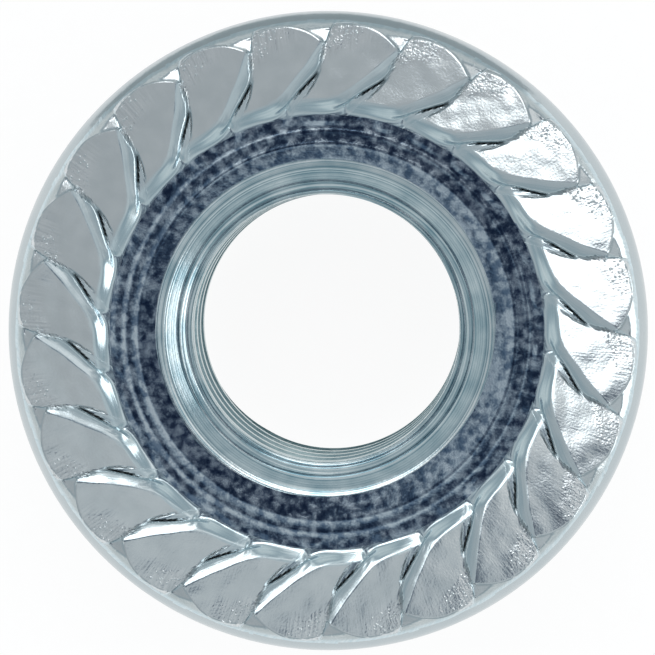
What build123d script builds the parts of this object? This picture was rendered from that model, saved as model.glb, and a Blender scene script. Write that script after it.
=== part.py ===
from build123d import *
import os
from math import acos, atan, atan2, cos, degrees, hypot, radians, sin, tan

# Hex flange nut with a serrated bearing face, forged and tapped in one piece. Millimetres, degrees.
# The nut stands on the free end of its hexagon at z = 0, the serrated face points along +Z, and
# the Z axis is the axis of the thread. The bore is plain, at the crests of the internal thread.

# ---------------------------------------------------------------- driving dimensions
# hexagon
nut_height = 8.6                  # free end of the hexagon to the tips of the serrations
across_flats = 14.2
hexagon_corner_round = 0.4
end_chamfer_inset = 0.5           # flat of the hexagon in to the flat ring of the free end
end_chamfer_angle = 30.0

# threaded hole
bore_diameter = 7.98              # minor diameter of a 3/8-16 thread
countersink_angle = 110.0         # included angle, both ends
end_countersink_width = 1.06      # bore to the edge of the countersink, across the face
face_countersink_width = 0.87
countersink_lip_width = 0.1       # bevel round its edge at the serrated side

# flange
flange_diameter = 19.0
flange_back_angle = 25.0          # slope of the cone between the hexagon and the rim
flange_root_bevel = 0.25          # between the flats of the hexagon and that cone
rim_bevel_share = 0.33            # of the overhang past the hexagon's corners, bevelled at 45 degrees
rim_height = 0.4                  # straight part of the rim
rim_face_round = 0.8              # bulge of the rim towards the serrated side
rim_width = 0.54                  # widest point of the rim in to the land
shoulder_slope = 43.0             # from the land down to the bulge
land_width = 0.56                 # land that shows between the outer ends of the serrations
land_slope = 12.0

# ring of serrations
tooth_count = 24
tooth_rise = 0.32                 # tip of a serration down to the low outer corner of its ramp
tooth_step = 0.04                 # low edge of a ramp down to the land
recess_depth = 0.6                # tips of the serrations down to the plain recess
recess_width = 1.56               # edge of the countersink to the foot of the serrations

# one serration
crest_margin = 1.06               # widest point of the rim in to the outer end of the crest wall
tip_margin = 0.95                 # in to the tip, the highest point
bulge_margin = 0.42               # in to the middle of the curved outer end
low_margin = 0.41                 # in to the outer corner on the low side
low_edge_length = 0.64            # low edge that stands free of the next serration
crest_lean = 31.4                 # crest wall to the radius through its outer end
crest_round = 0.4
nose_radius = 1.2                 # turns the crest wall into the inner edge
ramp_skew = 11.0                  # downhill direction of a ramp, past the tangent at its crest wall
wall_draft = 12.0                 # of the curved outer end
bevel_width = 0.14                # along the top of that end
bevel_angle = 16.0                # to the ramp

# ---------------------------------------------------------------- worked-out values
bore_radius = bore_diameter / 2
face_countersink_radius = bore_radius + face_countersink_width
foot_radius = face_countersink_radius + recess_width
flange_radius = flange_diameter / 2
crest_radius = flange_radius - crest_margin
corner_reach = across_flats / 2 / cos(radians(30))
corner_radius = corner_reach - hexagon_corner_round * (1 / cos(radians(30)) - 1)
rim_back_bevel = rim_bevel_share * (flange_radius - corner_radius)

recess_level = nut_height - recess_depth
land_level = nut_height - tooth_rise - tooth_step
land_outer_radius = flange_radius - rim_width
land_inner_radius = land_outer_radius - land_width
land_edge_level = land_level - land_width * tan(radians(land_slope))
shoulder_width = rim_width - rim_face_round * (1 - sin(radians(shoulder_slope)))
shoulder_level = land_edge_level - shoulder_width * tan(radians(shoulder_slope))
rim_level = shoulder_level - rim_face_round * cos(radians(shoulder_slope))
tooth_root = land_edge_level - rim_face_round / 2

# angles round the axis, from the outer end of the crest wall
tooth_pitch = 360 / tooth_count
bulge_angle = 0.63 * tooth_pitch
low_angle = 1.045 * tooth_pitch         # just past the next crest wall
foot_angle = 1.3 * tooth_pitch          # middle of the inner edge
cover_angle = 1.6 * tooth_pitch         # from here the next serration covers this one
tail_angle = 2.1 * tooth_pitch          # hidden end


def polar(radius, angle):
    """Point of the plan view, at an angle round the thread's axis."""
    return (radius * cos(radians(angle)), radius * sin(radians(angle)))


# ---------------------------------------------------------------- one serration
# In plan the crest wall and the inner edge are straight and meet in a rounded nose.
wall_normal = 90 - crest_lean
wall_offset = crest_radius * cos(radians(wall_normal))
wall_turn = radians(wall_normal - foot_angle)
foot_run = (foot_radius * cos(wall_turn) - wall_offset) / sin(wall_turn)
nose_corner = polar(hypot(foot_radius, foot_run), foot_angle - degrees(atan2(foot_run, foot_radius)))
wall_end = Vector(*nose_corner) + flange_radius * Vector(*polar(1, -crest_lean))
foot_end = polar(foot_radius / cos(radians(tail_angle - foot_angle)), tail_angle)

# The ramp falls evenly from the tip, on top of the crest's rounding, to the low outer corner.
tip_radius = flange_radius - tip_margin
tip_angle = wall_normal - degrees(acos((wall_offset + crest_round) / tip_radius))
tip = polar(tip_radius, tip_angle)
low_corner = polar(flange_radius - low_margin, low_angle)
downhill = Vector(*polar(1, 90 + ramp_skew))
ramp_run = (Vector(*low_corner) - Vector(*tip)).dot(downhill)
ramp_angle = degrees(atan(tooth_rise / ramp_run))
ramp_normal = downhill * sin(radians(ramp_angle)) + Vector(0, 0, cos(radians(ramp_angle)))
ramp_plane = Plane((*tip, nut_height), z_dir=ramp_normal)

with BuildPart() as tooth:
    # everything behind the crest wall and under the ramp, with the crest rounded
    with BuildSketch(Plane.XY.offset(tooth_root)):
        with BuildLine():
            FilletPolyline(wall_end, nose_corner, foot_end, radius=nose_radius)
            Polyline(foot_end, polar(flange_diameter, tail_angle), wall_end)
        make_face()
    extrude(amount=nut_height)
    split(bisect_by=ramp_plane, keep=Keep.BOTTOM)
    ramp = faces().filter_by(ramp_plane)[0]
    fillet(ramp.edges().filter_by(GeomType.LINE).sort_by(Axis.Y)[0], crest_round)

    # low edge of the ramp, and the part that the next serration covers
    with BuildSketch(Plane.XY.offset(tooth_root)):
        with BuildLine():
            Polyline(
                polar(flange_radius - low_margin - low_edge_length, low_angle),
                polar(flange_radius, low_angle),
                polar(flange_diameter, 0),
                polar(flange_radius, -tooth_pitch),
                polar(foot_radius - nose_radius, 0),
                polar(foot_radius - nose_radius, tail_angle),
                polar(foot_radius + nose_radius, cover_angle),
                close=True,
            )
        make_face()
    extrude(amount=nut_height, mode=Mode.INTERSECT)

    # curved outer end with its draft and its bevel, turned about a line square to the ramp
    with BuildLine(mode=Mode.PRIVATE):
        bulge = polar(flange_radius - bulge_margin, bulge_angle)
        end_curve = ThreePointArc(polar(crest_radius, 0), bulge, low_corner)
    end_plane = ramp_plane.shift_origin(Axis(end_curve.arc_center, (0, 0, 1)))
    end_radius = end_curve.radius
    end_depth = nut_height - tooth_root
    bevel_drop = bevel_width * tan(radians(bevel_angle))
    with BuildSketch(Plane(end_plane.origin, x_dir=end_plane.x_dir, z_dir=-end_plane.y_dir)):
        with BuildLine():
            Polyline(
                (0, -end_depth),
                (end_radius + end_depth * tan(radians(wall_draft)), -end_depth),
                (end_radius, -bevel_drop),
                (0, end_radius * tan(radians(bevel_angle)) - bevel_drop),
                close=True,
            )
        make_face()
    revolve(axis=Axis(end_plane.origin, ramp_normal), mode=Mode.INTERSECT)

# ---------------------------------------------------------------- the nut
with BuildPart() as flange_nut:
    # hexagon, its free end turned to a cone
    with BuildSketch():
        RegularPolygon(across_flats / 2, side_count=6, major_radius=False, rotation=30)
    extrude(amount=rim_level)
    fillet(edges().filter_by(Axis.Z), hexagon_corner_round)
    with BuildSketch(Plane.XZ):
        with BuildLine():
            end_edge = (across_flats / 2 - end_chamfer_inset, 0)
            turned = PolarLine(end_edge, across_flats, end_chamfer_angle)
            Polyline(end_edge, ((turned @ 1).X, 0), turned @ 1)
        make_face()
    revolve(axis=Axis.Z, mode=Mode.SUBTRACT)

    # flange, from the cone behind it round the rim to the land and the recess
    with BuildSketch(Plane.XZ):
        with BuildLine():
            face_centre = (flange_radius - rim_face_round, rim_level)
            face_arc = CenterArc(face_centre, rim_face_round, 0, 90 - shoulder_slope)
            rim_end = face_arc @ 0 - (0, rim_height)
            bevel_end = rim_end - (rim_back_bevel, rim_back_bevel)
            back = PolarLine(bevel_end, Axis.Y, 180 + flange_back_angle)
            Polyline(face_arc @ 0, rim_end, bevel_end)
            Polyline(
                back @ 1,
                (0, recess_level),
                (land_inner_radius, recess_level),
                (land_inner_radius, land_level),
                (land_outer_radius, land_edge_level),
                face_arc @ 1,
            )
        make_face()
    revolve(axis=Axis.Z)
    back_cone = faces().filter_by(GeomType.CONE).sort_by(Axis.Z)[1]
    hexagon_edges = back_cone.edges().filter_by(lambda edge: edge.geom_type != GeomType.CIRCLE)
    chamfer(hexagon_edges.filter_by(GeomType.LINE, reverse=True), flange_root_bevel)

    # hole with a countersink at each end
    end_depth = end_countersink_width / tan(radians(countersink_angle / 2))
    face_depth = face_countersink_width / tan(radians(countersink_angle / 2))
    with BuildSketch(Plane.XZ):
        with BuildLine():
            Polyline(
                (0, -end_depth),
                (bore_radius + 2 * end_countersink_width, -end_depth),
                (bore_radius, end_depth),
                (bore_radius, recess_level - face_depth),
                (bore_radius + 2 * face_countersink_width, recess_level + face_depth),
                (0, recess_level + face_depth),
                close=True,
            )
        make_face()
    revolve(axis=Axis.Z, mode=Mode.SUBTRACT)
    lip_level = (recess_level - countersink_lip_width, recess_level + countersink_lip_width)
    lip = edges().filter_by(GeomType.CIRCLE).filter_by_position(Axis.Z, *lip_level)
    chamfer(lip.sort_by(SortBy.RADIUS)[0], countersink_lip_width)

    # the ring of serrations
    with PolarLocations(0, tooth_count):
        add(tooth.part)

flange_nut.part.label = "flange_nut"
os.makedirs("parts", exist_ok=True)
export_step(flange_nut.part, "parts/flange_nut.step")
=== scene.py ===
from math import acos, cos, degrees, hypot, radians, sin, tan, tau

import bpy
import numpy as np
from mathutils import Matrix, Vector


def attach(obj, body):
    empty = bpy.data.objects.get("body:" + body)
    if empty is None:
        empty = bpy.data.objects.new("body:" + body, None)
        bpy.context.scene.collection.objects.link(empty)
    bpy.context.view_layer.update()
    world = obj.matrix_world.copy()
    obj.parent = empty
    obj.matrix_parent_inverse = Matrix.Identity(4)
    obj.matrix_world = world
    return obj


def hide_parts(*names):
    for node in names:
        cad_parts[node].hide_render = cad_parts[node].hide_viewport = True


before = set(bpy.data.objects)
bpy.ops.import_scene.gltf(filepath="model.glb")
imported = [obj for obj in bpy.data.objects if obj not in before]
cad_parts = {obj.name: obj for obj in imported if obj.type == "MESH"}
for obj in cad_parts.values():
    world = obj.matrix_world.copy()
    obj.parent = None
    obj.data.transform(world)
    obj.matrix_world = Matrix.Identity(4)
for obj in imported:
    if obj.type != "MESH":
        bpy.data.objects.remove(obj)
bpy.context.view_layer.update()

# Hex flange nut with a serrated bearing face, lying on the free end of its hexagon with the
# serrations up. Sizes are in millimetres, made metres by MM, and angles are in degrees.
MM = 0.001

# ---------------------------------------------------------------- sizes
# hole
BORE = 3.96                    # radius at the crests of the thread
HOLE_SHIFT = (-0.05, 0.10)     # drilled a little off the axis that the tap followed
THREAD_PITCH = 1.5875
THREAD_ROOT = 4.7625           # radius at the roots of the thread
THREAD_ROOT_FLAT = 0.198
THREAD_FLANK = 30.0            # side of the thread, to a plane across the axis
TAP_CORE = 3.8                 # radius from which the tap's ridge stands out
TAP_START = -2.875             # level of the middle of its first turn
TAP_TURNS = 7
TAP_LEAD = ((5, 6.33), (3.7, 7.28))   # cone that its last turns are cut down to
SINK_SLOPE = 55.0              # side of a countersink, to the axis
END_SINK = 5.05                # radius of the countersink in the free end
FACE_SINK = 4.86               # and in the serrated side
SINK_STEPS = ((BORE, 7.33), (4.00, 7.40), (4.07, 7.43), (4.10, 7.38), (4.14, 7.38), (4.17, 7.50),
              (4.24, 7.555), (4.34, 7.61), (4.365, 7.58), (4.40, 7.58))   # steps at its bottom
SINK_SIDE = 4.42               # from this radius out its side is plain
LIP_ROUND = 0.60               # of its rolled edge
LIP_DROP = 0.0175              # top of that edge, under the level of the recess
LIP_END = 93.0                 # direction from the round's centre in which it ends
LIP_RUNOUT = 0.4               # width over which the drill then leaves the recess

# hexagon
FLAT = 7.1                     # axis to a flat
HEX_CORNER_ROUND = 0.4
HEX_TOP = 7.0                  # it ends inside the flange
END_FLAT = 6.6                 # radius of the flat ring of the free end
END_SLOPE = 30.0

# flange
RIM = 9.494                    # widest radius
RIM_LEVEL = 7.1265
RIM_FACE_ROUND = 1.1858
RIM_BACK_ROUND = 0.781
BACK_SLOPE = 25.0              # cone between the hexagon and the rim
BACK_START = 5.5               # radius at which that cone starts, inside the hexagon
ROOT_WIDTH = 0.2               # of the rounding where it meets the hexagon
ROOT_TOP = 6.4                 # they meet under this level
RECESS = 8.0                   # level of the plain ring inside the serrations
RECESS_RINGS = ((6.12, -0.004), (5.99, -0.002), (5.94, 0.005), (5.88, -0.001), (5.62, 0.003),
                (5.57, 0.009), (5.51, 0.001), (FACE_SINK, -0.022), (0, -0.022))   # ridges in it
LAND_LEVEL = 8.25              # land between the outer ends of the serrations, where it starts
LAND_START = 8.40
LAND_SLOPE = 12.0
LAND_TWIST = 5.0               # it also falls towards the serration before it
LAND_MIDDLE = 4.0              # angle at which that leaves its level as it is
LAND_TO = 12.0                 # angle from which it is the next serration's
CREASE = 8.96                  # radius at which the land ends
CREASE_WIDTH = 0.06            # the twist is gone over this width before it

# one serration: radii, and angles from the outer end of its crest
TEETH = 24
PITCH = 360 / TEETH
TIP_LEVEL = 8.578
TIP = (8.55, 3.6)              # highest point, radius and angle
LOW_CORNER = (9.09, 16.2)      # outer corner on its low side
LOW_LEVEL = 8.28
LOW_EDGE = ((8.436, 8.93, 9.09), (17.7, 16.7, 16.2))   # low edge out to that corner
DOWNHILL = 101.0               # direction in which its ramp falls
RAMP_CROWN = 0.012             # how much the ramp bulges
CROWN_END = 1.97               # distance down the ramp at which the bulge is over
RAMP_START = 6.88              # inner end of the ramp
FOOT_WIDTH = 0.44              # and how wide it slopes down to the recess
FOOT_HOLLOW = 0.22             # share of that slope that is hollow, at the recess
FOOT_CROWN = 0.30              # and that is rounded over, at the ramp
CREST_END = (8.60, 3.3)        # outer end of the crest
BULGE = (9.09, 9.7)            # middle of the curved outer end
END_WALL = 0.014               # half the width of the wall under that end, in plan
END_FACET = ((4.0, 9.0, 13.0, 16.2), (0.02, 0.03, 0.09, 0.12))   # facet on it: angles, widths
FACET_SLOPE = 48.0

# the crest of a serration follows a straight line in plan, which WALL_START and WALL_NORMAL set;
# its edge to the ramp, the foot of its wall and the valley in which the ramp before it ends are
# given as radii and, at each of them, the distance behind that line
WALL_START = 8.44              # radius at which that line crosses angle 0
WALL_NORMAL = 58.6             # direction square to it
WALL_OFFSET = WALL_START * cos(radians(WALL_NORMAL))   # its distance from the axis
CREST_EDGE = ((6.9, 7.1, 7.5, 7.8, 8.6), (0.60, 0.57, 0.53, 0.49, 0.49))
CREST_FOOT = ((6.9, 7.04, 7.57, 7.9, 8.3, 8.6), (0.32, 0.29, 0.14, 0.16, 0.33, 0.44))
VALLEY = ((6.9, 7.228, 7.715, 8.1, 8.436, 8.6), (0, -0.03, 0.06, 0.22, 0.38, 0.44))
CREST_HEIGHT = 0.3             # about the height of a crest above the strip in front of it
CREST_SLOPES = ((0, 0.05, 0.2, 0.4), (8, 16, 22, 32))   # of the curved bevel, from the ramp down
WALL_WIDTH = 0.07              # steep wall under the bevel, in plan
STRIP_RISE = 0.08              # height of the strip at that wall, as a share of the ramp's
CREVICE = (6.98, 7.75)         # the foot of the wall is a narrow crevice between these radii
CREVICE_DEPTH = 0.13
CREVICE_HALF = 0.04            # half its width
CREVICE_SHIFT = 0.07           # its middle lies this far before the foot
VALLEY_CREVICE_END = 7.7       # a finer one along the valley ends here

# ring of serrations, made apart and let into the flange
RING_INNER = 6.2               # between these radii
RING_OUTER = 9.22
SEAM_INNER = 0.1               # the opening for it reaches up to this much further in
SEAM_OUTER = 0.05              # and out
FACE_SIDE = 7.6                # the whole serrated side lies above this level


# ---------------------------------------------------------------- modelling
def select(piece, kind, wanted):
    """Opens a piece in edit mode with those vertices, edges or faces selected that pass a test."""
    bpy.ops.object.select_all(action="DESELECT")
    piece.select_set(True)
    bpy.context.view_layer.objects.active = piece
    mesh = piece.data
    bpy.ops.object.mode_set(mode="EDIT")
    bpy.ops.mesh.select_mode(type=kind)
    bpy.ops.mesh.select_all(action="DESELECT")
    bpy.ops.object.mode_set(mode="OBJECT")
    parts = {"VERT": mesh.vertices, "EDGE": mesh.edges, "FACE": mesh.polygons}[kind]
    for part in parts:
        part.select = wanted(part)
    bpy.ops.object.mode_set(mode="EDIT")


def reach(mesh, part):
    """Radius and height in mm of each corner of an edge or a face."""
    places = [mesh.vertices[index].co / MM for index in part.vertices]
    return [(hypot(place.x, place.y), place.z) for place in places]


def drawn(name, outline):
    """Draws an outline of radius and height point by point, in edit mode and all selected."""
    bpy.ops.object.select_all(action="DESELECT")
    bpy.ops.mesh.primitive_plane_add(size=MM, location=(outline[0][0] * MM, 0, outline[0][1] * MM))
    bpy.ops.object.transform_apply(location=True)
    piece = bpy.context.object
    piece.name = name
    bpy.ops.object.mode_set(mode="EDIT")
    bpy.ops.mesh.select_mode(type="VERT")
    bpy.ops.mesh.select_all(action="SELECT")
    bpy.ops.mesh.merge(type="CENTER")
    for here, there in zip(outline, outline[1:]):
        step = ((there[0] - here[0]) * MM, 0, (there[1] - here[1]) * MM)
        bpy.ops.mesh.extrude_region_move(TRANSFORM_OT_translate={"value": step})
    bpy.ops.mesh.select_all(action="SELECT")
    return piece


def turned(name, outline, steps):
    """A solid: an outline turned about the thread's axis."""
    piece = drawn(name, outline)
    bpy.ops.mesh.spin(steps=steps, angle=tau, center=(0, 0, 0), axis=(0, 0, 1))
    bpy.ops.mesh.select_all(action="SELECT")
    bpy.ops.mesh.remove_doubles(threshold=1e-6)
    bpy.ops.mesh.normals_make_consistent(inside=False)
    bpy.ops.object.mode_set(mode="OBJECT")
    return piece


def arc(centre, radius, start, end, steps):
    """Points of an arc in an outline, angles from the outward direction."""
    angles = [radians(start + (end - start) * step / steps) for step in range(steps + 1)]
    return [(centre[0] + radius * cos(angle), centre[1] + radius * sin(angle)) for angle in angles]


def combine(piece, tool, operation):
    """Joins, cuts or trims a piece with a second solid, which is then gone."""
    bpy.ops.object.select_all(action="DESELECT")
    bpy.context.view_layer.objects.active = piece
    piece.select_set(True)
    modifier = piece.modifiers.new(operation.lower(), "BOOLEAN")
    modifier.operation = operation
    modifier.solver = "EXACT"
    modifier.object = tool
    bpy.ops.object.modifier_apply(modifier=modifier.name)
    bpy.data.objects.remove(tool)


def hexagon():
    """Hexagon with rounded corners, its free end turned to a cone."""
    bpy.ops.object.select_all(action="DESELECT")
    bpy.ops.mesh.primitive_cylinder_add(
        vertices=6, radius=FLAT / cos(radians(30)) * MM, depth=HEX_TOP * MM,
        location=(0, 0, HEX_TOP / 2 * MM))
    piece = bpy.context.object
    piece.name = "hexagon"
    bpy.ops.object.transform_apply(location=True, rotation=True, scale=True)
    mesh = piece.data
    select(piece, "EDGE", lambda edge: abs(
        mesh.vertices[edge.vertices[0]].co.z - mesh.vertices[edge.vertices[1]].co.z) > MM)
    bpy.ops.mesh.bevel(offset=HEX_CORNER_ROUND * tan(radians(30)) * MM, segments=5, affect="EDGES")
    bpy.ops.object.mode_set(mode="OBJECT")
    outside, above = 9.4, 7.5      # past its corners and its top
    end = turned("turned_end", [
        (0, 0), (END_FLAT, 0), (outside, (outside - END_FLAT) * tan(radians(END_SLOPE))),
        (outside, above), (0, above)], 240)
    combine(piece, end, "INTERSECT")
    return piece


def flange():
    """Flange from the cone behind it round the rim to the recess, still without serrations."""
    face_centre = (RIM - RIM_FACE_ROUND, RIM_LEVEL)
    back_centre = (RIM - RIM_BACK_ROUND, RIM_LEVEL)
    # the round of the face ends just outside the ring of serrations
    outer_angle = degrees(acos((RING_OUTER + 0.02 - face_centre[0]) / RIM_FACE_ROUND))
    back = arc(back_centre, RIM_BACK_ROUND, -(90 - BACK_SLOPE), 0, 12)
    start_level = back[0][1] - (back[0][0] - BACK_START) * tan(radians(BACK_SLOPE))
    outline = [(0, start_level), (BACK_START, start_level)]
    outline += back
    outline += arc(face_centre, RIM_FACE_ROUND, 0, outer_angle, 16)[1:]
    outline += [(radius, RECESS + rise) for radius, rise in RECESS_RINGS]
    return turned("flange", outline, 240)


def thread_cutter():
    """Ridge of a tap: a trapezoid wound up the bore, its last turns cut down to a cone, so that
    the thread runs out under the countersink."""
    root_half = THREAD_ROOT_FLAT / 2
    core_half = root_half + (THREAD_ROOT - TAP_CORE) * tan(radians(THREAD_FLANK))
    corners = [(TAP_CORE, -core_half), (THREAD_ROOT, -root_half),
               (THREAD_ROOT, root_half), (TAP_CORE, core_half)]
    piece = drawn("tap", [(radius, TAP_START + height) for radius, height in corners + corners[:1]])
    bpy.ops.mesh.remove_doubles(threshold=1e-6)
    bpy.ops.object.mode_set(mode="OBJECT")
    winding = piece.modifiers.new("winding", "SCREW")
    winding.axis = "Z"
    winding.angle = tau
    winding.screw_offset = THREAD_PITCH * MM
    winding.iterations = TAP_TURNS
    winding.steps = winding.render_steps = 96
    bpy.ops.object.modifier_apply(modifier=winding.name)
    select(piece, "VERT", lambda vertex: True)
    bpy.ops.mesh.remove_doubles(threshold=1e-6)
    bpy.ops.mesh.fill_holes(sides=0)
    bpy.ops.mesh.select_all(action="SELECT")
    bpy.ops.mesh.normals_make_consistent(inside=False)
    bpy.ops.object.mode_set(mode="OBJECT")
    (wide, wide_level), (narrow, narrow_level) = TAP_LEAD
    lead = turned("lead", [
        (0, -5), (wide, -5), (wide, wide_level), (narrow, narrow_level), (0, narrow_level)], 96)
    combine(piece, lead, "INTERSECT")
    return piece


def round_root(nut):
    """Rounds the line in which the flats of the hexagon run into the back of the flange."""
    mesh = nut.data
    upright, sloping = set(), set()
    for face in mesh.polygons:
        if abs(face.normal.z) < 0.01 and face.center.z < ROOT_TOP * MM:
            upright.update(face.edge_keys)
        elif abs(face.normal.z + cos(radians(BACK_SLOPE))) < 0.01:
            sloping.update(face.edge_keys)
    root = upright & sloping
    select(nut, "EDGE", lambda edge: edge.key in root)
    bpy.ops.mesh.bevel(offset=ROOT_WIDTH * MM, segments=4, affect="EDGES", clamp_overlap=False)
    bpy.ops.object.mode_set(mode="OBJECT")


def plain_nut():
    """Hexagon and flange in one, drilled, countersunk and tapped."""
    nut = hexagon()
    combine(nut, flange(), "UNION")
    nut.name = "flange_nut_visual"
    round_root(nut)

    drill_end = (END_SINK - BORE) / tan(radians(SINK_SLOPE))
    lip_centre = (FACE_SINK + LIP_ROUND * tan(radians(45 - SINK_SLOPE / 2)),
                  RECESS - LIP_DROP - LIP_ROUND)
    lip = arc(lip_centre, LIP_ROUND, 180 - SINK_SLOPE, LIP_END, 10)
    side_start = (SINK_SIDE, lip[0][1] - (lip[0][0] - SINK_SIDE) / tan(radians(SINK_SLOPE)))
    # the drill leaves the recess at a slightly steeper slope, so that none of their faces coincide
    runout = lip[-1][0] + LIP_RUNOUT
    drill = turned("drill", [
        (0, -drill_end), (END_SINK + END_SINK - BORE, -drill_end), (BORE, drill_end),
        *SINK_STEPS, side_start, *lip,
        (runout, lip[-1][1] + LIP_RUNOUT * tan(radians(LIP_END - 90))), (runout, 9), (0, 9)], 192)
    drill.location = (HOLE_SHIFT[0] * MM, HOLE_SHIFT[1] * MM, 0)
    bpy.ops.object.transform_apply(location=True)
    combine(nut, drill, "DIFFERENCE")
    combine(nut, thread_cutter(), "DIFFERENCE")
    return nut


# ---------------------------------------------------------------- serrations
def polar(radius, angle):
    """Point of the plan."""
    return np.array((radius * cos(radians(angle)), radius * sin(radians(angle))))


def ease(value):
    """0 below 0, 1 above 1 and a smooth step between them."""
    value = np.clip(value, 0, 1)
    return value * value * (3 - 2 * value)


def softer_of(first, second, blend):
    """The smaller of two values, with the corner between them rounded."""
    gap = np.clip(blend - np.abs(first - second), 0, None) / blend
    return np.minimum(first, second) - gap * gap * blend / 4


def circle_through(first, second, third):
    """Centre and radius of the circle through three points of the plan."""
    rows = np.array((second - first, third - first))
    centre = np.linalg.solve(2 * rows, np.array([row @ (row + 2 * first) for row in rows]))
    return centre, np.linalg.norm(first - centre)


def ramp_fall():
    """How far a ramp falls for each millimetre downhill."""
    run = (polar(*LOW_CORNER) - polar(*TIP)) @ polar(1, DOWNHILL)
    return (TIP_LEVEL - LOW_LEVEL) / run


def behind_crest(radius, own):
    """Distance behind the line that the crest follows, with the angle in radians."""
    return radius * np.cos(own - radians(WALL_NORMAL)) - WALL_OFFSET


def off_ramp(radius, own):
    """Distance out from the edge of a ramp, and how far that is the crest's edge and not the
    inner end's, with the angle in radians."""
    off_crest = behind_crest(radius, own) - np.interp(radius, *CREST_EDGE)
    off_end = radius - RAMP_START
    # the two edges meet in a round and share it over 0.3 mm
    return -softer_of(off_crest, off_end, 0.35), ease((off_end - off_crest) / 0.3 + 0.5)


def crest_drop(away):
    """How far the curved bevel of a crest has fallen, at a distance from the ramp's edge."""
    step = 0.005
    steps = np.linspace(0, 0.5, 101)
    falls = np.tan(np.radians(np.interp(steps, *CREST_SLOPES)))
    return np.interp(away, steps, step * np.cumsum(falls))


def crevice(radius, depth):
    """Crevices before the foot of the crest and, finer, along the valley: 1 at the bottom."""
    start, end = CREVICE
    length = ease((radius - start) / 0.12) * ease((end - radius) / 0.25)
    at_foot = 1 - np.abs(depth - np.interp(radius, *CREST_FOOT) + CREVICE_SHIFT) / CREVICE_HALF
    at_valley = 1 - np.abs(depth - np.interp(radius, *VALLEY)) / (0.75 * CREVICE_HALF)
    finer = 0.5 * ease((VALLEY_CREVICE_END - radius) / 0.2)
    return length * np.maximum(np.clip(at_foot, 0, 1), finer * np.clip(at_valley, 0, 1))


def serrated_height(radius, angle):
    """Height of the bearing face over its plan."""
    end_centre, end_radius = circle_through(polar(*CREST_END), polar(*BULGE), polar(*LOW_CORNER))
    # recess, land and the round of the rim, which the serrations stand on
    shoulder = np.clip((radius - (RIM - RIM_FACE_ROUND)) / RIM_FACE_ROUND, 0, 1)
    shoulder_level = RIM_LEVEL + RIM_FACE_ROUND * np.sqrt(1 - shoulder ** 2)
    past_crest = np.mod(angle + PITCH - LAND_TO, PITCH) + LAND_TO - PITCH
    twist = radius * np.radians(past_crest - LAND_MIDDLE) * tan(radians(LAND_TWIST))
    land_level = LAND_LEVEL - (radius - LAND_START) * tan(radians(LAND_SLOPE))
    land_level = land_level + twist * (1 - ease((radius - CREASE + CREASE_WIDTH) / CREASE_WIDTH))
    level = np.where(radius > CREASE, shoulder_level, land_level)
    level = np.where(radius < 7.4, RECESS, level)    # their step lies under the ramps
    for turn in (-PITCH, 0.0, PITCH):
        own = np.radians(angle - turn)
        x, y = radius * np.cos(own), radius * np.sin(own)
        # the ramp, a little crowned, with the facet along its outer end
        along = (np.stack((x, y), -1) - polar(*TIP)) @ polar(1, DOWNHILL)
        crown = RAMP_CROWN * np.clip(along, 0, 3) * (along - CROWN_END)
        ramp = TIP_LEVEL - ramp_fall() * along - crown
        inside = end_radius - np.hypot(x - end_centre[0], y - end_centre[1])
        facet = np.interp(angle - turn, *END_FACET)
        ramp -= tan(radians(FACET_SLOPE)) * np.clip(facet - inside, 0, facet + 0.03)
        # bevel and steep wall of the crest, and the strip in front of it
        away, by_crest = off_ramp(radius, own)
        depth = behind_crest(radius, own)
        edge, foot, valley = (
            np.interp(radius, *line) for line in (CREST_EDGE, CREST_FOOT, VALLEY))
        width = edge - foot
        bevel = 1 - crest_drop(np.clip(away, 0, width)) / CREST_HEIGHT
        past_wall = ease((away - width) / WALL_WIDTH)
        strip = STRIP_RISE * (1 - ease((away - width) / np.maximum(foot - valley, 0.05)))
        crest = bevel + (strip - bevel) * past_wall
        # slope of the inner end, rounded at its foot and at the ramp
        share = np.clip(1 - away / FOOT_WIDTH, 0, 1)
        steep = 1 / (1 - (FOOT_HOLLOW + FOOT_CROWN) / 2)
        hollow = steep * share ** 2 / (2 * FOOT_HOLLOW)
        rounded = 1 - steep * (1 - share) ** 2 / (2 * FOOT_CROWN)
        share = np.where(share < FOOT_HOLLOW, hollow, np.where(
            share > 1 - FOOT_CROWN, rounded, steep * (share - FOOT_HOLLOW / 2)))
        share = share + (crest - share) * by_crest
        # the curved outer end and the low edge
        share = share * ease((inside + END_WALL) / (2 * END_WALL))
        low_edge = np.interp(radius, *LOW_EDGE)
        past_low_edge = ease((angle - turn - low_edge) / 0.3 + 0.5) * ease((radius - 8.40) / 0.04)
        share = share * (1 - past_low_edge)
        level = level + (ramp - level) * share
        level = level - CREVICE_DEPTH * crevice(radius, depth)
    return level


def end_reach(angle):
    """Radius of the curved outer ends at an angle; from one end to the next it crosses the land."""
    centre, size = circle_through(polar(*CREST_END), polar(*BULGE), polar(*LOW_CORNER))
    gap = (LOW_CORNER[1] - PITCH, CREST_END[1])
    own = np.radians(np.where(angle < gap[0], angle + PITCH, angle))
    middle = centre[0] * np.cos(own) + centre[1] * np.sin(own)
    reach_there = middle + np.sqrt(middle ** 2 - centre @ centre + size ** 2)
    crossing = np.interp(angle, gap, (LOW_CORNER[0], CREST_END[0]))
    return np.where((angle > gap[0]) & (angle < gap[1]), crossing, reach_there)


def crest_angles(radius, behind):
    """Angles at which a radius lies at distances behind the line that the crest follows."""
    return WALL_NORMAL - np.degrees(np.arccos((WALL_OFFSET + behind) / radius))


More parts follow.
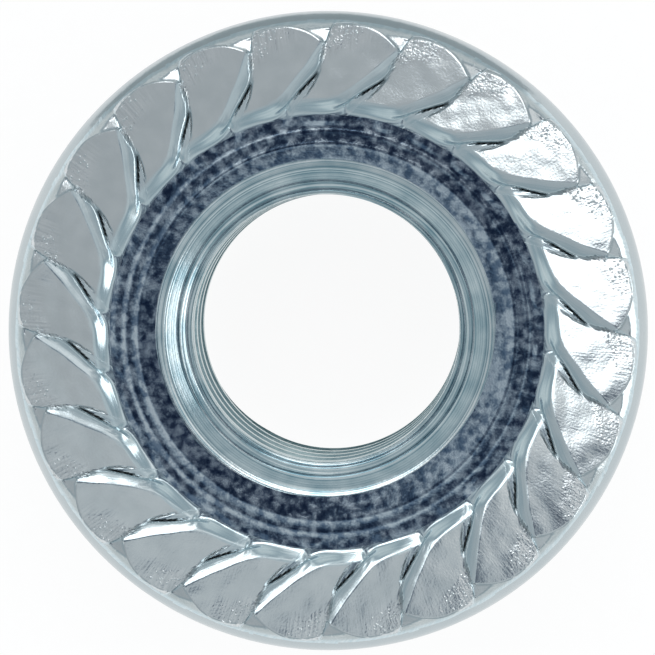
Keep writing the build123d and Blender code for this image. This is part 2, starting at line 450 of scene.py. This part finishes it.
def serrated_ring():
    """One serration's sector, repeated round the axis.

    Crest, ramp and valley run into each other without an edge, which bevels can't give, so the
    grid's vertices are placed by the serration's own form.
    """
    # columns: distances behind this crest, some between, and distances before the next one
    behind = np.linspace(0, 0.66, 34)
    before = np.array((-.16, -.11, -.08, -.055, -.035, -.015, 0))
    between = 12
    columns = len(behind) + between + len(before)
    outer_angles = np.concatenate((
        crest_angles(WALL_START, behind),
        np.full(between, np.nan),
        crest_angles(WALL_START, before) + PITCH))
    known = np.isfinite(outer_angles)
    outer_angles = np.interp(np.arange(columns), np.arange(columns)[known], outer_angles[known])

    # rows run round the axis as far as the low edges and along the curved ends beyond them
    inner_rows = np.concatenate((
        np.linspace(RING_INNER, 6.36, 3)[:-1], np.linspace(6.36, 6.92, 13)[:-1],
        np.linspace(6.92, 8.30, 13)[:-1]))
    end = end_reach(outer_angles)
    near_end = end + np.array((-.16, -.12, -.09, -.05, -END_WALL, END_WALL))[:, None]
    rows = np.concatenate((
        np.repeat(inner_rows[:, None], columns, 1),
        np.linspace(np.full(columns, 8.30), near_end[0], 13)[:-1],
        near_end,
        np.linspace(near_end[-1], np.full(columns, RING_OUTER), 14)[1:]))
    bpy.ops.object.select_all(action="DESELECT")
    bpy.ops.mesh.primitive_grid_add(
        x_subdivisions=columns - 1, y_subdivisions=len(rows) - 1, size=MM)
    ring = bpy.context.object
    ring.name = "serrations"
    mesh = ring.data
    places = np.empty(len(mesh.vertices) * 3, np.float32)
    mesh.vertices.foreach_get("co", places)
    places = places.reshape(-1, 3).astype(float)
    column = np.rint((places[:, 0] / MM + 0.5) * (columns - 1)).astype(int)
    row = np.rint((places[:, 1] / MM + 0.5) * (len(rows) - 1)).astype(int)

    # columns run along the crest, closest together at its foot, and past its end along the radius
    radius = rows[row, column]
    turning = np.minimum(rows, WALL_START)
    after = crest_angles(turning[:, :len(behind)], behind)
    ahead = crest_angles(turning[:, -len(before):], before) + PITCH
    share = np.linspace(0, 1, between + 2)[1:-1]
    middle = after[:, -1:] + (ahead[:, :1] - after[:, -1:]) * share
    angles = np.concatenate((after, middle, ahead), 1)
    angle = angles[row, column]
    height = serrated_height(radius, angle)
    turn = np.radians(angle)
    places = np.stack((radius * np.cos(turn), radius * np.sin(turn), height), -1) * MM
    mesh.vertices.foreach_set("co", places.astype(np.float32).ravel())

    # where the finishes differ: a ramp, its rough patch towards the low outer corner, the
    # crevices, where the material paints shade near black, and the distance down from the ramp's
    # edge
    away = off_ramp(radius, turn)[0]
    depth = behind_crest(radius, turn)
    low_end = np.interp(radius, *LOW_EDGE) - PITCH
    before_crest = (depth < np.interp(radius, *VALLEY)) & ((angle < low_end) | (radius < 8.42))
    on_ramp = np.where(before_crest, 1, 0.35 + 0.65 * ease(0.5 - away / 0.05))
    on_ramp = on_ramp * ease((radius - RAMP_START) / 0.1 + 0.5) * (1 - ease((radius - 9.05) / 0.1))
    across = np.where(before_crest, 1, column / (columns - 1))
    patch_start = np.interp(across, (0.6, 1.0), (8.5, 7.9))
    patch = on_ramp * ease((radius - patch_start) / 0.5) * ease((across - 0.6) / 0.35)
    next_depth = behind_crest(radius, np.radians(angle - PITCH))
    deep = np.maximum(crevice(radius, depth), crevice(radius, next_depth))
    for name, values in (("ramp", on_ramp), ("rough_patch", patch), ("crevice", deep),
                         ("down_crest", away * MM)):
        layer = mesh.attributes.new(name, "FLOAT", "POINT")
        layer.data.foreach_set("value", values.astype(np.float32))

    select(ring, "FACE", lambda face: True)
    bpy.ops.mesh.spin(steps=TEETH - 1, dupli=True, angle=radians(360 - PITCH),
                      center=(0, 0, 0), axis=(0, 0, 1))
    bpy.ops.mesh.select_all(action="SELECT")
    bpy.ops.mesh.remove_doubles(threshold=1e-6)
    bpy.ops.mesh.normals_make_consistent(inside=False)
    bpy.ops.object.mode_set(mode="OBJECT")
    return ring


def uneven(ring):
    """Moves the surface a little, so that the serrations aren't all alike."""
    waves = bpy.data.textures.new("die_waves", "CLOUDS")
    waves.cloud_type = "COLOR"
    waves.noise_scale = 0.7 * MM
    waves.noise_depth = 1
    modifier = ring.modifiers.new("die_waves", "DISPLACE")
    modifier.texture = waves
    modifier.texture_coords = "LOCAL"
    modifier.direction = "RGB_TO_XYZ"
    modifier.strength = 0.035 * MM
    modifier.mid_level = 0.5
    bpy.context.view_layer.objects.active = ring
    bpy.ops.object.modifier_apply(modifier=modifier.name)


def whole_nut():
    """The nut with the ring of serrations let into its flange."""
    nut = plain_nut()
    mesh = nut.data
    select(nut, "FACE", lambda face: all(
        height > FACE_SIDE and RING_INNER - SEAM_INNER < radius < RING_OUTER + SEAM_OUTER
        for radius, height in reach(mesh, face)))
    bpy.ops.mesh.delete(type="ONLY_FACE")
    bpy.ops.object.mode_set(mode="OBJECT")
    bpy.ops.object.shade_smooth_by_angle(angle=radians(35))

    ring = serrated_ring()
    bpy.ops.object.select_all(action="DESELECT")
    ring.select_set(True)
    bpy.context.view_layer.objects.active = ring
    uneven(ring)
    bpy.ops.object.shade_smooth_by_angle(angle=radians(38))
    nut.select_set(True)
    bpy.context.view_layer.objects.active = nut
    bpy.ops.object.join()

    # the two are joined along their open edges, first inside and then outside
    mesh = nut.data
    for seam, width in ((RING_INNER, SEAM_INNER), (RING_OUTER, SEAM_OUTER)):
        uses = {}
        for face in mesh.polygons:
            for key in face.edge_keys:
                uses[key] = uses.get(key, 0) + 1
        select(nut, "EDGE", lambda edge: uses.get(edge.key, 0) == 1 and all(
            seam - width < radius < seam + width and height > FACE_SIDE
            for radius, height in reach(mesh, edge)))
        bpy.ops.mesh.bridge_edge_loops()
        bpy.ops.object.mode_set(mode="OBJECT")
    return nut


# ---------------------------------------------------------------- finishes
def linear(code):
    """Linear colour of an sRGB hex value."""
    parts = [int(code[place:place + 2], 16) / 255 for place in (1, 3, 5)]
    parts = [part / 12.92 if part <= 0.04045 else ((part + 0.055) / 1.055) ** 2.4 for part in parts]
    return (*parts, 1)


def add_node(tree, kind, inputs=None, **settings):
    """Adds a node with its settings; an input that is a socket is linked, any other is set."""
    node = tree.nodes.new(kind)
    for name, value in settings.items():
        setattr(node, name, value)
    for name, value in (inputs or {}).items():
        if isinstance(value, bpy.types.NodeSocket):
            tree.links.new(value, node.inputs[name])
        else:
            node.inputs[name].default_value = value
    return node


def new_material(name):
    """An empty material and its node tree."""
    material = bpy.data.materials.new(name)
    material.use_nodes = True
    material.node_tree.nodes.clear()
    return material, material.node_tree


def relief(tree, *layers):
    """Height in mm of patterns laid on each other, each times a height of its own."""
    total = 0.0
    for pattern, height in layers:
        total = add_node(tree, "ShaderNodeMath", {
            0: pattern, 1: height, 2: total}, operation="MULTIPLY_ADD").outputs[0]
    return total


def zinc(tree, tint, roughness, height):
    """Shader of the plating, with a height in mm that turns its reflections."""
    bump = add_node(tree, "ShaderNodeBump", {"Height": height, "Strength": 1.0, "Distance": MM})
    shader = add_node(tree, "ShaderNodeBsdfPrincipled", {
        "Base Color": tint.outputs["Result"], "Metallic": 1.0,
        "Roughness": roughness.outputs["Result"], "Normal": bump.outputs["Normal"]})
    add_node(tree, "ShaderNodeOutputMaterial", {"Surface": shader.outputs["BSDF"]})


def pressed_serrations():
    """Bright zinc over serrations that a die pressed: the ramps a little matt and neutral grey,
    with fine ribs and small torn grains towards their low outer corners; crests and valleys
    smooth, bluish and drawn out in lines along the crest; its foot a crevice, painted near black
    as shade."""
    material, tree = new_material("bright_zinc_on_pressed_serrations")
    place = add_node(tree, "ShaderNodeTexCoord").outputs["Object"]
    ramp, patch, down, deep = (
        add_node(tree, "ShaderNodeAttribute", attribute_name=name).outputs["Fac"]
        for name in ("ramp", "rough_patch", "down_crest", "crevice"))
    parts = add_node(tree, "ShaderNodeSeparateXYZ", {0: place})

    # ribs about 0.1 mm apart, which takes noise of 0.06 mm, run out along the radius and change
    # within 0.6 mm, so their pattern is read round the axis, for the middle of a ramp
    turn = add_node(tree, "ShaderNodeMath", {
        0: parts.outputs["Y"], 1: parts.outputs["X"]}, operation="ARCTAN2")
    out = add_node(tree, "ShaderNodeVectorMath", {0: place}, operation="LENGTH")
    around = add_node(tree, "ShaderNodeMath", {
        0: turn.outputs[0], 1: 8.5 / 0.06}, operation="MULTIPLY")
    outward = add_node(tree, "ShaderNodeMath", {
        0: out.outputs["Value"], 1: 1 / (0.625 * MM)}, operation="MULTIPLY")
    rib_place = add_node(tree, "ShaderNodeCombineXYZ", {
        "X": around.outputs[0], "Y": outward.outputs[0]})
    ribs = add_node(tree, "ShaderNodeTexNoise", {
        "Vector": rib_place.outputs[0], "Scale": 1.0, "Detail": 0.5}).outputs["Fac"]
    # lines of 0.07 mm run along the crest and change within 1.6 mm
    drift = 1 / (1.6 * MM)
    across = add_node(tree, "ShaderNodeMath", {
        0: down, 1: 1 / (0.07 * MM)}, operation="MULTIPLY")
    drift_y = add_node(tree, "ShaderNodeMath", {
        0: parts.outputs["Y"], 1: drift}, operation="MULTIPLY")
    drift_x = add_node(tree, "ShaderNodeMath", {
        0: parts.outputs["X"], 1: drift}, operation="MULTIPLY")
    line_place = add_node(tree, "ShaderNodeCombineXYZ", {
        "X": across.outputs[0], "Y": drift_y.outputs[0], "Z": drift_x.outputs[0]})
    lines = add_node(tree, "ShaderNodeTexNoise", {
        "Vector": line_place.outputs[0], "Scale": 1.0, "Detail": 1.0}).outputs["Fac"]
    # the grain of the plating is too fine to show, so its specks are drawn 0.07 mm wide
    specks = add_node(tree, "ShaderNodeTexNoise", {
        "Vector": place, "Scale": 1 / (0.07 * MM), "Detail": 1.0,
        "Roughness": 0.5}).outputs["Fac"]
    # where the patch is rough, over half of the cells of 0.12 mm hold a round grain 0.1 mm wide
    torn = add_node(tree, "ShaderNodeMapRange", {
        "Value": patch, "From Min": 0.3, "From Max": 0.9}).outputs["Result"]
    cells = add_node(tree, "ShaderNodeTexVoronoi", {"Vector": place, "Scale": 1 / (0.12 * MM)})
    grain = add_node(tree, "ShaderNodeMapRange", {
        "Value": cells.outputs["Distance"], "From Min": 0.0, "From Max": 0.40,
        "To Min": 1.0, "To Max": 0.0}, interpolation_type="SMOOTHSTEP")
    chosen = add_node(tree, "ShaderNodeMath", {
        0: cells.outputs["Color"], 1: 0.45}, operation="GREATER_THAN")
    grain = add_node(tree, "ShaderNodeMath", {
        0: grain.outputs["Result"], 1: chosen.outputs[0]}, operation="MULTIPLY")
    # slow waves of the die
    waves = add_node(tree, "ShaderNodeTexNoise", {
        "Vector": place, "Scale": 1 / (0.7 * MM), "Detail": 2.0,
        "Roughness": 0.45}).outputs["Fac"]

    # ramps have specks and faint ribs, crests and valleys have lines, the patch adds to the ramp
    base = add_node(tree, "ShaderNodeMix", {
        "Factor": ramp, "A": relief(tree, (lines, 0.005)),
        "B": relief(tree, (specks, 0.0030), (ribs, 0.0014))}, data_type="FLOAT")
    rough = relief(tree, (specks, relief(tree, (torn, 0.008))),
                   (grain.outputs[0], relief(tree, (torn, 0.028))), (ribs, 0.0045))
    height = relief(tree, (base.outputs["Result"], 1.0), (rough, patch), (waves, 0.0045))

    # off the ramps the zinc is bluish; on them it is worn to a neutral grey, streaked by the ribs
    smooth = add_node(tree, "ShaderNodeMix", {
        "Factor": lines, "A": linear("#B9CDD5"), "B": linear("#DCE6E9")}, data_type="RGBA")
    worn = add_node(tree, "ShaderNodeMix", {
        "Factor": waves, "A": linear("#B6C0C4"), "B": linear("#E2E7E9")}, data_type="RGBA")
    rib_tint = add_node(tree, "ShaderNodeMix", {
        "Factor": ribs, "A": linear("#A9B2B6"), "B": linear("#FFFFFF")}, data_type="RGBA")
    ribbed = add_node(tree, "ShaderNodeMix", {
        "Factor": patch, "A": linear("#D2D8DA"), "B": rib_tint.outputs["Result"]},
        data_type="RGBA")
    worn = add_node(tree, "ShaderNodeMix", {
        "Factor": 0.45, "A": worn.outputs["Result"], "B": ribbed.outputs["Result"]},
        data_type="RGBA")
    tint = add_node(tree, "ShaderNodeMix", {
        "Factor": ramp, "A": smooth.outputs["Result"], "B": worn.outputs["Result"]},
        data_type="RGBA")
    # painted shade: the bottom of a crevice is coloured near black, and made matt
    crevice_shade = add_node(tree, "ShaderNodeMapRange", {
        "Value": deep, "From Min": 0.15, "From Max": 0.8}).outputs["Result"]
    tint = add_node(tree, "ShaderNodeMix", {
        "Factor": crevice_shade, "A": tint.outputs["Result"], "B": linear("#12191D")}, data_type="RGBA")
    roughness = add_node(tree, "ShaderNodeMapRange", {
        "Value": specks, "To Min": 0.15, "To Max": 0.25})
    roughness = add_node(tree, "ShaderNodeMix", {
        "Factor": crevice_shade, "A": roughness.outputs["Result"], "B": 0.55}, data_type="FLOAT")
    zinc(tree, tint, roughness, height)
    return material


def turned_recess():
    """Bright zinc over the plain ring that was turned inside the serrations: glossy and blue-grey,
    clouded with darker spots of the plating bath and faintly ringed by the tool."""
    material, tree = new_material("clouded_bright_zinc_on_turned_recess")
    place = add_node(tree, "ShaderNodeTexCoord").outputs["Object"]
    # spots of about 0.3 mm in drifts of 0.9 mm
    spots = add_node(tree, "ShaderNodeTexNoise", {
        "Vector": place, "Scale": 1 / (0.26 * MM), "Detail": 2.5, "Roughness": 0.6}).outputs["Fac"]
    drifts = add_node(tree, "ShaderNodeTexNoise", {
        "Vector": place, "Scale": 1 / (0.9 * MM), "Detail": 1.0})
    cloud = add_node(tree, "ShaderNodeMath", {
        0: drifts.outputs["Fac"], 1: 0.5, 2: spots}, operation="MULTIPLY_ADD")
    cloud = add_node(tree, "ShaderNodeMapRange", {
        "Value": cloud.outputs[0], "From Min": 0.58, "From Max": 0.90},
        interpolation_type="SMOOTHSTEP")
    # rings of the tool, drawn 0.12 mm wide so that they show
    out = add_node(tree, "ShaderNodeVectorMath", {0: place}, operation="LENGTH")
    across = add_node(tree, "ShaderNodeMath", {
        0: out.outputs["Value"], 1: 1 / (0.12 * MM)}, operation="MULTIPLY")
    rings = add_node(tree, "ShaderNodeTexNoise", {
        "W": across.outputs[0], "Scale": 1.0, "Detail": 1.0}, noise_dimensions="1D")
    tint = add_node(tree, "ShaderNodeMix", {
        "Factor": cloud.outputs["Result"],
        "A": linear("#74889E"), "B": linear("#D2DEE6")}, data_type="RGBA")
    roughness = add_node(tree, "ShaderNodeMapRange", {
        "Value": spots, "From Min": 0.3, "From Max": 0.7, "To Min": 0.10, "To Max": 0.22})
    zinc(tree, tint, roughness, relief(tree, (spots, 0.005), (rings.outputs["Fac"], 0.0006)))
    return material


def cut_countersink():
    """Bright zinc over the countersinks and their rolled edges: bluish and stained in drifts, with
    the fine lines of the cutter round them."""
    material, tree = new_material("bright_zinc_on_cut_countersink")
    place = add_node(tree, "ShaderNodeTexCoord").outputs["Object"]
    # the cutter's lines and the grain of the plating are drawn coarser than they are, 0.06 and
    # 0.11 mm wide, so that they show
    flat = add_node(tree, "ShaderNodeVectorMath", {0: place, 1: (1, 1, 0)}, operation="MULTIPLY")
    out = add_node(tree, "ShaderNodeVectorMath", {0: flat.outputs["Vector"]}, operation="LENGTH")
    across = add_node(tree, "ShaderNodeMath", {
        0: out.outputs["Value"], 1: 1 / (0.06 * MM)}, operation="MULTIPLY")
    rings = add_node(tree, "ShaderNodeTexNoise", {
        "W": across.outputs[0], "Scale": 1.0, "Detail": 1.0}, noise_dimensions="1D").outputs["Fac"]
    grain = add_node(tree, "ShaderNodeTexNoise", {
        "Vector": place, "Scale": 1 / (0.11 * MM), "Detail": 1.0, "Roughness": 0.5}).outputs["Fac"]
    # stains of 1.1 mm, broken up by the lines
    drifts = add_node(tree, "ShaderNodeTexNoise", {
        "Vector": place, "Scale": 1 / (1.1 * MM), "Detail": 2.0})
    stain = add_node(tree, "ShaderNodeMath", {
        0: drifts.outputs["Fac"], 1: rings}, operation="ADD")
    stain = add_node(tree, "ShaderNodeMapRange", {
        "Value": stain.outputs[0], "From Min": 0.7, "From Max": 1.3})
    tint = add_node(tree, "ShaderNodeMix", {
        "Factor": stain.outputs["Result"],
        "A": linear("#86A5B0"), "B": linear("#E4ECEE")}, data_type="RGBA")
    roughness = add_node(tree, "ShaderNodeMapRange", {
        "Value": grain, "To Min": 0.16, "To Max": 0.26})
    zinc(tree, tint, roughness, relief(tree, (grain, 0.0025), (rings, 0.004)))
    return material


def tapped_thread():
    """Zinc over the thread: duller, and painted darker and greener than the countersink as shade
    and reflection deep in the bore, marked along its turns by the tap.
    """
    material, tree = new_material("dull_zinc_with_painted_shade_on_tapped_thread")
    place = add_node(tree, "ShaderNodeTexCoord").outputs["Object"]
    # marks 0.5 mm long, and a grain drawn 0.12 mm wide so that it shows
    along = add_node(tree, "ShaderNodeMapping", {"Vector": place, "Scale": (1, 1, 12)})
    marks = add_node(tree, "ShaderNodeTexNoise", {
        "Vector": along.outputs[0], "Scale": 1 / (0.5 * MM), "Detail": 2.0}).outputs["Fac"]
    grain = add_node(tree, "ShaderNodeTexNoise", {
        "Vector": place, "Scale": 1 / (0.12 * MM), "Detail": 1.0}).outputs["Fac"]
    # painted shade: this tint is darker and greener than the countersink's, for the shade and teal
    # reflections deep in the bore; the tap's marks vary it
    tint = add_node(tree, "ShaderNodeMix", {
        "Factor": marks, "A": linear("#7E9BA0"), "B": linear("#C6D6D8")}, data_type="RGBA")
    roughness = add_node(tree, "ShaderNodeMapRange", {
        "Value": marks, "To Min": 0.18, "To Max": 0.30})
    zinc(tree, tint, roughness, relief(tree, (grain, 0.003), (marks, 0.004)))
    return material


def forged_sides():
    """Bright zinc over the hexagon and the flange as they leave the forging die: satin, with slow
    waves and a fine grain."""
    material, tree = new_material("bright_zinc_on_forged_steel")
    place = add_node(tree, "ShaderNodeTexCoord").outputs["Object"]
    # waves of 1.6 mm, and a grain drawn 0.2 mm wide so that it shows
    waves = add_node(tree, "ShaderNodeTexNoise", {
        "Vector": place, "Scale": 1 / (1.6 * MM), "Detail": 3.0, "Roughness": 0.5}).outputs["Fac"]
    grain = add_node(tree, "ShaderNodeTexNoise", {
        "Vector": place, "Scale": 1 / (0.2 * MM), "Detail": 2.0}).outputs["Fac"]
    tint = add_node(tree, "ShaderNodeMix", {
        "Factor": waves, "A": linear("#B2BEC3"), "B": linear("#C6CDCF")}, data_type="RGBA")
    roughness = add_node(tree, "ShaderNodeMapRange", {
        "Value": grain, "To Min": 0.16, "To Max": 0.26})
    zinc(tree, tint, roughness, relief(tree, (grain, 0.0025), (waves, 0.02)))
    return material


def finish(nut):
    """Gives each face the finish of its place on the nut."""
    mesh = nut.data
    mesh.materials.clear()
    for material in (forged_sides(), pressed_serrations(), turned_recess(), cut_countersink(),
                     tapped_thread()):
        mesh.materials.append(material)
    sides, serrations, recess, countersink, thread = range(5)
    lip_end, hole_end, recess_end = 5.05, 5.1, 6.42     # radii
    thread_start, thread_end, serrations_start = 0.75, 7.36, 7.9    # levels
    for face in mesh.polygons:
        place = face.center / MM
        radius, level = hypot(place.x, place.y), place.z
        off_hole = hypot(place.x - HOLE_SHIFT[0], place.y - HOLE_SHIFT[1])
        if off_hole > lip_end and radius < recess_end and level > RECESS - 0.1:
            face.material_index = recess
        elif off_hole < hole_end and not thread_start < level < thread_end:
            face.material_index = countersink
        elif off_hole < hole_end:
            face.material_index = thread
        elif level > serrations_start and radius < RING_OUTER + 0.01:
            face.material_index = serrations
        else:
            face.material_index = sides


# ---------------------------------------------------------------- camera, floor and light
VIEW_WIDTH = 655               # in pixels
FOCAL_LENGTH = 4392            # in pixels
CAMERA_DISTANCE = 130.3
AIM_LEVEL = 7.2                # the camera aims at this level of the axis
AIM_RISE = 0.112               # and this much higher in the view
VIEW_TILT = 2.74               # of the view to the axis
VIEW_TOWARD = 46.5             # direction in which it tilts, in plan
VIEW_RIGHT = 2.5               # direction of the right of the view, in plan
FLAG_TOWARD = 95               # direction of the grey flag, from the right of the view
FLAG_DISTANCE = 17
FLAG_SIZE = (0.5, 34, 9)
SOFTBOX_DISTANCE = 300
SOFTBOX_AIM = 8                # level of the axis that the softboxes look at


def camera():
    """Camera that looks almost along the axis, at the serrated side."""
    data = bpy.data.cameras.new("camera")
    data.sensor_width = 36
    data.lens = FOCAL_LENGTH / VIEW_WIDTH * data.sensor_width
    data.clip_start, data.clip_end = 0.001, 10
    obj = bpy.data.objects.new("camera", data)
    bpy.context.scene.collection.objects.link(obj)
    tilt, toward = radians(VIEW_TILT), radians(VIEW_TOWARD)
    back = Vector((sin(tilt) * cos(toward), sin(tilt) * sin(toward), cos(tilt)))
    right = Vector((cos(radians(VIEW_RIGHT)), sin(radians(VIEW_RIGHT)), 0))
    right = (right - back * right.dot(back)).normalized()
    up = back.cross(right)
    target = Vector((0, 0, AIM_LEVEL * MM)) + up * AIM_RISE * MM
    obj.matrix_world = Matrix.Translation(target + back * CAMERA_DISTANCE * MM) @ Matrix(
        (right, up, back)).transposed().to_4x4()
    bpy.context.scene.camera = obj


def direction(off_axis, toward):
    """Direction from the nut, by its angle to the axis and its turn from the right of the view."""
    tilt, turn = radians(off_axis), radians(toward + VIEW_RIGHT)
    return Vector((sin(tilt) * cos(turn), sin(tilt) * sin(turn), cos(tilt)))


def panel(tree, place, behind, off_axis, toward, inner, outer, code):
    """Soft round panel of the room: full out to the inner angle, gone at the outer one."""
    near = add_node(tree, "ShaderNodeVectorMath", {
        0: place, 1: direction(off_axis, toward)}, operation="DOT_PRODUCT")
    share = add_node(tree, "ShaderNodeMapRange", {
        "Value": near.outputs["Value"], "From Min": cos(radians(outer)),
        "From Max": cos(radians(inner))}, interpolation_type="SMOOTHSTEP")
    return add_node(tree, "ShaderNodeMix", {
        "Factor": share.outputs["Result"], "A": behind, "B": linear(code)},
        data_type="RGBA").outputs["Result"]


def softbox(name, shape, off_axis, toward, width, height, radiance):
    """Area light that looks at the nut; radiance 1 is white in a mirror."""
    data = bpy.data.lights.new(name, "AREA")
    data.shape = shape
    data.size, data.size_y = width * MM, height * MM
    data.energy = 4 * width * height * MM * MM * radiance
    obj = bpy.data.objects.new(name, data)
    bpy.context.scene.collection.objects.link(obj)
    away = direction(off_axis, toward)
    obj.location = away * SOFTBOX_DISTANCE * MM + Vector((0, 0, SOFTBOX_AIM * MM))
    obj.rotation_euler = away.to_track_quat("Z", "Y").to_euler()


def paper_floor():
    """White paper just under the nut. Seen or mirrored it is white; to other light it is plain."""
    bpy.ops.object.select_all(action="DESELECT")
    bpy.ops.mesh.primitive_plane_add(size=2, location=(0, 0, -0.005 * MM))
    floor = bpy.context.object
    floor.name = "floor"
    material, tree = new_material("white_paper")
    path = add_node(tree, "ShaderNodeLightPath")
    seen = add_node(tree, "ShaderNodeMath", {
        0: path.outputs["Is Camera Ray"], 1: path.outputs["Is Glossy Ray"]}, operation="MAXIMUM")
    seen = add_node(tree, "ShaderNodeMath", {
        0: seen.outputs[0], 1: path.outputs["Is Transmission Ray"]}, operation="MAXIMUM")
    glow = add_node(tree, "ShaderNodeEmission", {"Color": linear("#FFFFFF"), "Strength": 0.92})
    # fibres drawn 0.5 mm wide so that they show
    place = add_node(tree, "ShaderNodeTexCoord").outputs["Object"]
    grain = add_node(tree, "ShaderNodeTexNoise", {"Vector": place, "Scale": 1 / (0.5 * MM)})
    paper = add_node(tree, "ShaderNodeMapRange", {
        "Value": grain.outputs["Fac"], "To Min": 0.11, "To Max": 0.13})
    shade = add_node(tree, "ShaderNodeBsdfDiffuse", {"Color": paper.outputs["Result"]})
    both = add_node(tree, "ShaderNodeAddShader", {0: glow.outputs[0], 1: shade.outputs[0]})
    plain = add_node(tree, "ShaderNodeBsdfDiffuse", {"Color": linear("#F2F2F2")})
    mix = add_node(tree, "ShaderNodeMixShader", {
        0: seen.outputs[0], 1: plain.outputs[0], 2: both.outputs[0]})
    add_node(tree, "ShaderNodeOutputMaterial", {"Surface": mix.outputs[0]})
    floor.data.materials.append(material)


def grey_flag():
    """Low card beyond the top of the view, seen in reflections alone, which gives the rim an edge
    against the floor."""
    bpy.ops.object.select_all(action="DESELECT")
    bpy.ops.mesh.primitive_cube_add(size=1)
    flag = bpy.context.object
    flag.name = "grey_flag"
    toward = radians(FLAG_TOWARD + VIEW_RIGHT)
    flag.scale = [side * MM for side in FLAG_SIZE]
    flag.rotation_euler = (0, 0, toward)
    flag.location = (FLAG_DISTANCE * MM * cos(toward), FLAG_DISTANCE * MM * sin(toward),
                     FLAG_SIZE[2] / 2 * MM)
    bpy.ops.object.transform_apply(location=True, rotation=True, scale=True)
    flag.visible_camera = flag.visible_shadow = flag.visible_diffuse = False
    material, tree = new_material("grey_card")
    place = add_node(tree, "ShaderNodeTexCoord").outputs["Object"]
    grain = add_node(tree, "ShaderNodeTexNoise", {"Vector": place, "Scale": 1 / (1.1 * MM)})
    felt = add_node(tree, "ShaderNodeMix", {
        "Factor": grain.outputs["Fac"],
        "A": linear("#E8EBEC"), "B": linear("#F0F2F2")}, data_type="RGBA")
    shade = add_node(tree, "ShaderNodeBsdfDiffuse", {"Color": felt.outputs["Result"]})
    add_node(tree, "ShaderNodeOutputMaterial", {"Surface": shade.outputs[0]})
    flag.data.materials.append(material)


def room():
    """Pale room that the metal mirrors, with soft panels and a dark end behind the camera."""
    world = bpy.data.worlds.new("studio")
    bpy.context.scene.world = world
    world.use_nodes = True
    tree = world.node_tree
    tree.nodes.clear()
    place = add_node(tree, "ShaderNodeTexCoord").outputs["Generated"]
    height = add_node(tree, "ShaderNodeVectorMath", {
        0: place, 1: (0, 0, 1)}, operation="DOT_PRODUCT")
    walls = add_node(tree, "ShaderNodeValToRGB", {"Fac": height.outputs["Value"]})
    # colours by the angle to the axis, from the horizon up
    stops = ((90, "#E2E6E6"), (79, "#DEE3E3"), (69, "#B7C2C7"), (60, "#A5B2B8"), (47, "#A6B2B8"),
             (33, "#BABFC2"), (0, "#BEC2C5"))
    while len(walls.color_ramp.elements) < len(stops):
        walls.color_ramp.elements.new(0.5)
    for element, (off_axis, code) in zip(walls.color_ramp.elements, stops):
        element.position = cos(radians(off_axis))
        element.color = linear(code)
    seen = walls.outputs["Color"]
    behind_camera = VIEW_TOWARD - VIEW_RIGHT
    for off_axis, toward, inner, outer, code in (
            (20, -40, 8, 26, "#CED4D7"),
            (29, 30, 6, 11, "#FFFFFF"),
            (47, 84, 7, 15, "#FAFBFB"),
            (VIEW_TILT, behind_camera, 9.5, 13.5, "#8799A7"),
            (VIEW_TILT, behind_camera, 5.8, 10, "#202F48")):
        seen = panel(tree, place, seen, off_axis, toward, inner, outer, code)
    lit = add_node(tree, "ShaderNodeBackground", {"Color": seen, "Strength": 1.0})
    add_node(tree, "ShaderNodeOutputWorld", {"Surface": lit.outputs["Background"]})


def studio():
    """Floor, flag, room and softboxes."""
    paper_floor()
    grey_flag()
    room()
    softbox("softbox_top", "ELLIPSE", 25.5, 96, 172, 144, 1.25)
    softbox("softbox_right", "RECTANGLE", 74, 0, 300, 110, 1.3)


nut = whole_nut()
finish(nut)
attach(nut, "root")
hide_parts("flange_nut")
camera()
studio()
bpy.context.scene.view_settings.view_transform = "Standard"
